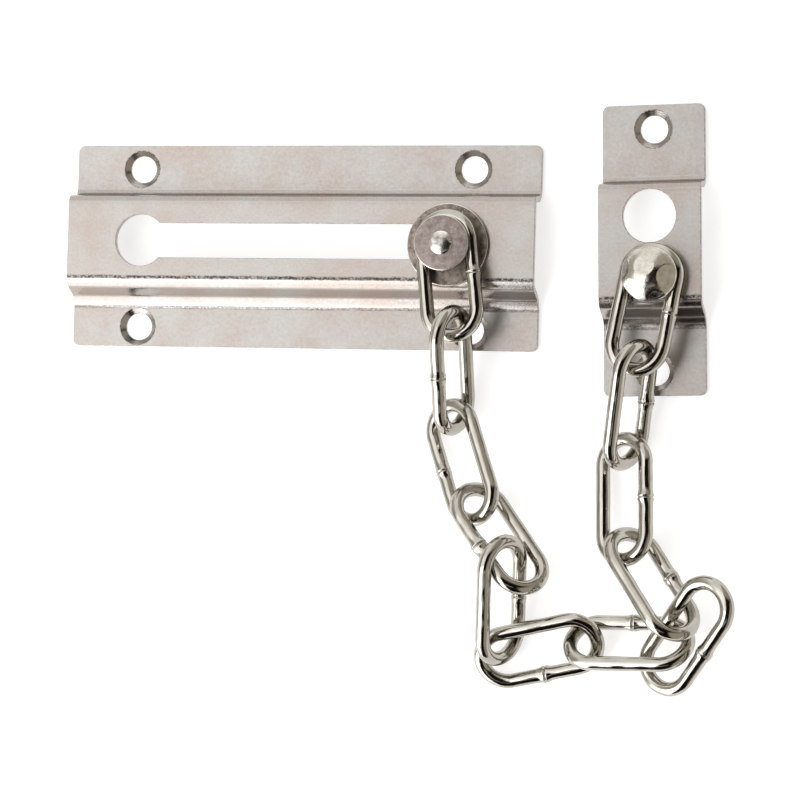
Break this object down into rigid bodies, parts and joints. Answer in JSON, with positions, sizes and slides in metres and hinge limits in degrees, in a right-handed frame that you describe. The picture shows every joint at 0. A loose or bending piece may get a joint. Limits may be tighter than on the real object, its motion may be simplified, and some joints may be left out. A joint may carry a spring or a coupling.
{
  "type": "door chain",
  "caption": "Surface-mounted door chain: a pressed slide plate with a keyhole slot and headed slider, a run of welded links, and a pressed anchor plate with a domed rivet.",
  "frame": {"origin": "middle of the slide plate's four screw holes, on the back face of its flanges", "axes": "+X along the slide plate from the keyhole to the closed end of the slot, +Y up the door, +Z out of the door; both plates lie with their backs on the plane Z = 0"},
  "size_m": [0.1436, 0.1189, 0.018],
  "materials": {
    "pressed_steel": "satin nickel plate on pressed sheet",
    "slider_steel": "dull nickel plate on turned discs",
    "chain_wire": "bright nickel plate on welded wire",
    "rivet_steel": "bright nickel plate on a hammered dome"
  },
  "bodies": {
    "slide_plate": {"slide_plate": "pressed_steel"},
    "slider": {"slider_stud": "slider_steel", "slider_flange": "slider_steel", "slider_cap": "slider_steel"},
    "link_01": {"link_01": "chain_wire"},
    "link_02": {"link_02": "chain_wire"},
    "link_03": {"link_03": "chain_wire"},
    "link_04": {"link_04": "chain_wire"},
    "link_05": {"link_05": "chain_wire"},
    "link_06": {"link_06": "chain_wire"},
    "link_07": {"link_07": "chain_wire"},
    "link_08": {"link_08": "chain_wire"},
    "link_09": {"link_09": "chain_wire"},
    "link_10": {"link_10": "chain_wire"},
    "link_11": {"link_11": "chain_wire"},
    "link_12": {"link_12": "chain_wire"},
    "anchor": {"anchor_plate": "pressed_steel", "anchor_rivet": "rivet_steel"}
  },
  "joints": [
    {"name": "slider_run", "type": "slide", "parent": "slide_plate", "child": "slider", "axis": [1, 0, 0], "range_m": [-0.0662, 0.0042]},
    {"name": "link_01_on_slider", "type": "hinge", "parent": "slider", "child": "link_01", "pos_m": [0.0322, 0.0005, 0.00965], "axis": [0, 0, 1], "range_deg": [-5, 30]},
    {"name": "link_02_on_link_01", "type": "hinge", "parent": "link_01", "child": "link_02", "pos_m": [0.03701, -0.01541, 0.00952], "axis": [0, 0, 1], "range_deg": [-16, 22]},
    {"name": "link_03_on_link_02", "type": "hinge", "parent": "link_02", "child": "link_03", "pos_m": [0.03511, -0.0322, 0.00309], "axis": [0, 0, 1], "range_deg": [-20, 14]},
    {"name": "link_04_on_link_03", "type": "hinge", "parent": "link_03", "child": "link_04", "pos_m": [0.03837, -0.05523, 0.00828], "axis": [0, 0, 1], "range_deg": [-30, 3]},
    {"name": "link_05_on_link_04", "type": "hinge", "parent": "link_04", "child": "link_05", "pos_m": [0.04422, -0.06513, 0.01321], "axis": [0, 0, -1], "range_deg": [-8, 30]},
    {"name": "link_06_on_link_05", "type": "hinge", "parent": "link_05", "child": "link_06", "pos_m": [0.04776, -0.07659, 0.00389], "axis": [0, 0, 1], "range_deg": [-42, 4]},
    {"name": "link_07_on_link_06", "type": "hinge", "parent": "link_06", "child": "link_07", "pos_m": [0.06282, -0.07572, 0.00359], "axis": [0, 0, 1], "range_deg": [-15, 2]},
    {"name": "link_08_on_link_07", "type": "hinge", "parent": "link_07", "child": "link_08", "pos_m": [0.0783, -0.0752, 0.00489], "axis": [0, 0, -1], "range_deg": [-7, 2]},
    {"name": "link_09_on_link_08", "type": "hinge", "parent": "link_08", "child": "link_09", "pos_m": [0.08222, -0.07073, 0.00672], "axis": [0, 0, 1], "range_deg": [-4, 7]},
    {"name": "link_10_on_link_09", "type": "hinge", "parent": "link_09", "child": "link_10", "pos_m": [0.06718, -0.05983, 0.00615], "axis": [0, 0, -1], "range_deg": [-8, 13]},
    {"name": "link_11_on_link_10", "type": "hinge", "parent": "link_10", "child": "link_11", "pos_m": [0.07121, -0.03834, 0.00313], "axis": [0, 0, 1], "range_deg": [-25, 11]},
    {"name": "link_12_on_link_11", "type": "hinge", "parent": "link_11", "child": "link_12", "pos_m": [0.07528, -0.02135, 0.00889], "axis": [0, 0, -1], "range_deg": [-15, 25]},
    {"name": "anchor_on_link_12", "type": "hinge", "parent": "link_12", "child": "anchor", "pos_m": [0.0746, -0.00538, 0.0089], "axis": [0, 0, 1], "range_deg": [-3, 28]}
  ],
  "couplings": [
    {"joint": "link_01_on_slider", "follows": "slider_run", "rad_per_m": -7.402},
    {"joint": "link_06_on_link_05", "follows": "slider_run", "rad_per_m": 10.802},
    {"joint": "link_07_on_link_06", "follows": "slider_run", "rad_per_m": 3.601},
    {"joint": "anchor_on_link_12", "follows": "slider_run", "rad_per_m": -7.001}
  ]
}
